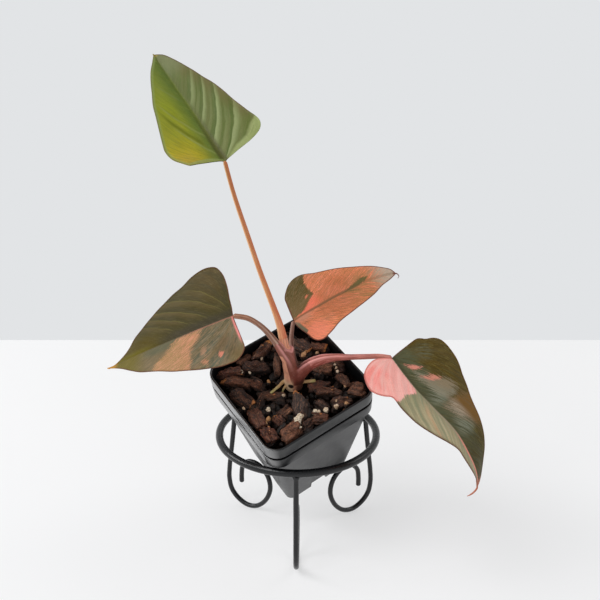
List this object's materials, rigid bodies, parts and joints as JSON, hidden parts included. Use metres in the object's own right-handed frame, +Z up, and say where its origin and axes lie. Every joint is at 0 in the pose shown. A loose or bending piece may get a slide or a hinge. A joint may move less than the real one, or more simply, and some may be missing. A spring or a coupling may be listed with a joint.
{
  "type": "potted homalomena in a wire stand",
  "caption": "Young pink-variegated homalomena with heart-shaped leaves in a square nursery pot, tipped forward in a black wire ring stand with scrolled legs.",
  "frame": {"origin": "on the surface that the feet stand on, below the middle of the whole object's box", "axes": "+Z up; +Y from the front of the plant to its back; +X to the right as seen from the front"},
  "size_m": [0.1994, 0.1204, 0.2763],
  "materials": {
    "wire": "satin black powder coat",
    "pot": "satin black moulded plastic",
    "bark": "damp orchid bark with perlite",
    "stem_pink": "satin red-pink stalk skin",
    "stem_orange": "satin orange-brown stalk skin",
    "stem_mauve": "satin mauve-brown stalk skin",
    "leaf_green": "satin yellow-green leaf",
    "leaf_olive": "satin dark olive leaf with pink marks",
    "leaf_coral": "satin coral leaf with olive streaks",
    "leaf_pink": "satin olive leaf with a pink lobe"
  },
  "bodies": {
    "root": {"stand_ring": "wire", "stand_leg_front": "wire", "stand_leg_rear_right": "wire", "stand_leg_rear_left": "wire", "pot": "pot", "bark_mix": "bark", "crown": "stem_pink", "petiole_tall": "stem_orange", "petiole_left": "stem_mauve", "petiole_back": "stem_mauve", "petiole_right": "stem_pink", "blade_tall": "leaf_green", "blade_left": "leaf_olive", "blade_back": "leaf_coral", "blade_right": "leaf_pink"}
  },
  "joints": []
}
